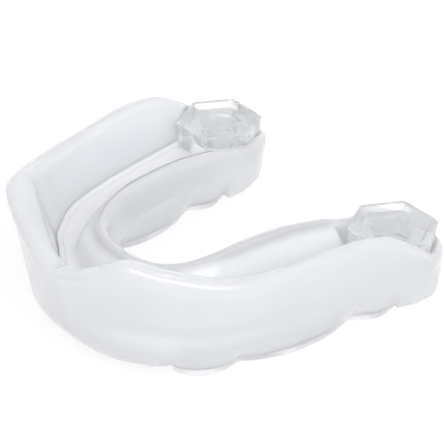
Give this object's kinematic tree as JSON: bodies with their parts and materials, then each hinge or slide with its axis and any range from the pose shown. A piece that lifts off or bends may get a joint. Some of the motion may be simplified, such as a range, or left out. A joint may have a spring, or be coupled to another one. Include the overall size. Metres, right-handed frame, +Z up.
{
  "type": "boil-and-bite mouthguard",
  "caption": "Clear horseshoe mouthguard for the upper teeth, with a notched lip flange, a tooth trough, open hexagonal cups at the heels and lobed bite pads underneath.",
  "frame": {"origin": "under the middle of the bounding box, on the plane that the bite pads rest on", "axes": "+X across the arch towards the arm named right, -Y towards the lips and the closed front, +Y towards the open ends of the arms, +Z up, the side that the teeth enter from"},
  "size_m": [0.0604, 0.0598, 0.0221],
  "materials": {
    "shell_eva": "clear, slightly milky EVA, smooth moulded gloss",
    "liner_gel": "clear, slightly milky soft EVA, satin",
    "cup_clear": "crystal clear, glossy",
    "pad_eva": "clear, slightly milky EVA, smooth"
  },
  "bodies": {
    "root": {"outer_shell": "shell_eva", "fit_liner": "liner_gel", "right_molar_cup": "cup_clear", "left_molar_cup": "cup_clear", "right_bite_pad": "pad_eva", "left_bite_pad": "pad_eva"}
  },
  "joints": []
}
